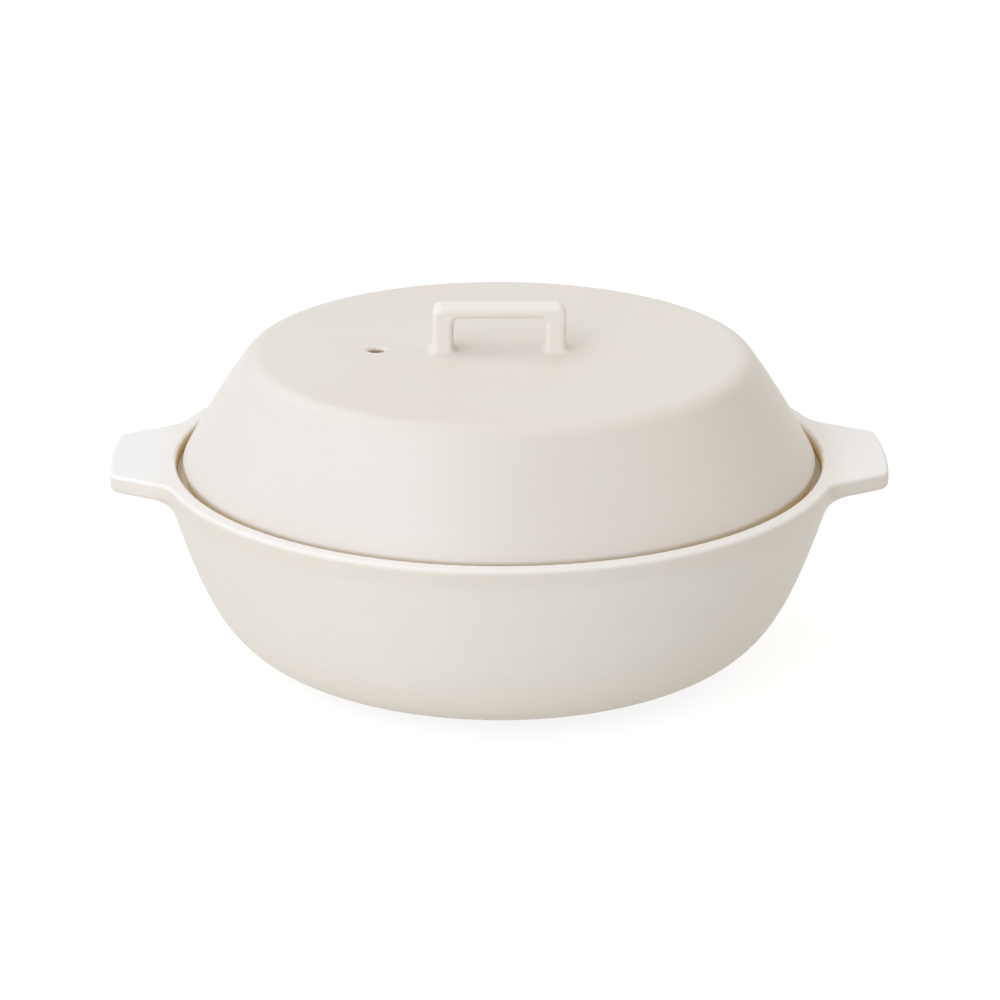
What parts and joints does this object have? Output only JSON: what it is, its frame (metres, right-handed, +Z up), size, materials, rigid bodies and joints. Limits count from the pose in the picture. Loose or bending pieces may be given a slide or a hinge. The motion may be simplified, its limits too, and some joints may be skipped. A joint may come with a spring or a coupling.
{
  "type": "donabe clay pot",
  "caption": "Wide lidded clay pot with flat side lugs, a cone-sided lid with a loop handle and a steam vent, and a perforated steaming plate inside.",
  "frame": {"origin": "centre of the pot at the plane it stands on", "axes": "+Z up along the pot's axis; the side lugs lie along X and the lid's steam vent is on the -X side"},
  "size_m": [0.315, 0.2757, 0.1485],
  "materials": {
    "body_glaze": "matt cream glaze",
    "lid_glaze": "satin cream glaze",
    "plate_glaze": "satin cream glaze"
  },
  "bodies": {
    "pot": {"pot_bowl": "body_glaze", "handle_left": "body_glaze", "handle_right": "body_glaze"},
    "lid": {"lid_shell": "lid_glaze", "lid_handle": "lid_glaze"},
    "plate": {"steamer_plate": "plate_glaze", "plate_foot_1": "plate_glaze", "plate_foot_2": "plate_glaze", "plate_foot_3": "plate_glaze"}
  },
  "joints": [
    {"name": "lid_lift", "type": "slide", "parent": "pot", "child": "lid", "axis": [0, 0, 1], "range_m": [0, 0.16]},
    {"name": "plate_lift", "type": "slide", "parent": "pot", "child": "plate", "axis": [0, 0, 1], "range_m": [0, 0.085]}
  ]
}
